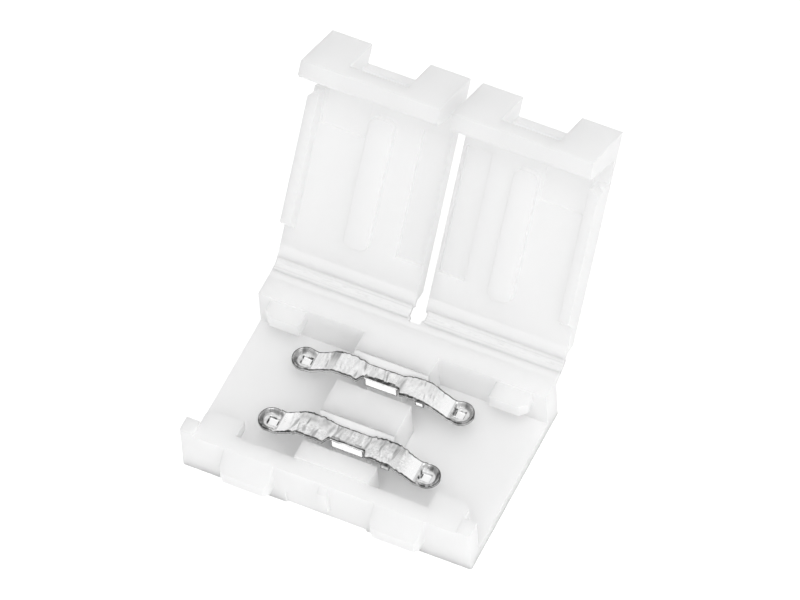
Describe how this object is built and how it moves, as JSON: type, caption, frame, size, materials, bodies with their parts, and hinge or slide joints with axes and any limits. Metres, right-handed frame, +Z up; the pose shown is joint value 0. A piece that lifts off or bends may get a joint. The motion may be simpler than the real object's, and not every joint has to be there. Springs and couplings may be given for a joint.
{
  "type": "led strip connector",
  "caption": "Clear-white plastic connector with hinged snap-down covers and sprung contacts that grip and join the ends of flat light strip, covers standing open.",
  "frame": {"origin": "middle of the flat underside of the base", "axes": "+X along the strip, +Y from the latch side to the hinge side, +Z up from the underside"},
  "size_m": [0.016, 0.0199, 0.0148],
  "materials": {
    "housing": "translucent natural white moulded plastic, satin",
    "contact": "bright plated spring strip"
  },
  "bodies": {
    "base": {"base": "housing", "front_contact": "contact", "rear_contact": "contact", "left_hinge_film": "housing", "right_hinge_film": "housing"},
    "left_cover": {"left_cover": "housing"},
    "right_cover": {"right_cover": "housing"}
  },
  "joints": [
    {"name": "left_hinge", "type": "hinge", "parent": "base", "child": "left_cover", "pos_m": [-0.00415, 0.00598, 0.003], "axis": [1, 0, 0], "range_deg": [-56, 124], "deforming": ["left_hinge_film"]},
    {"name": "right_hinge", "type": "hinge", "parent": "base", "child": "right_cover", "pos_m": [0.00415, 0.00598, 0.003], "axis": [1, 0, 0], "range_deg": [-56, 124], "deforming": ["right_hinge_film"]}
  ]
}
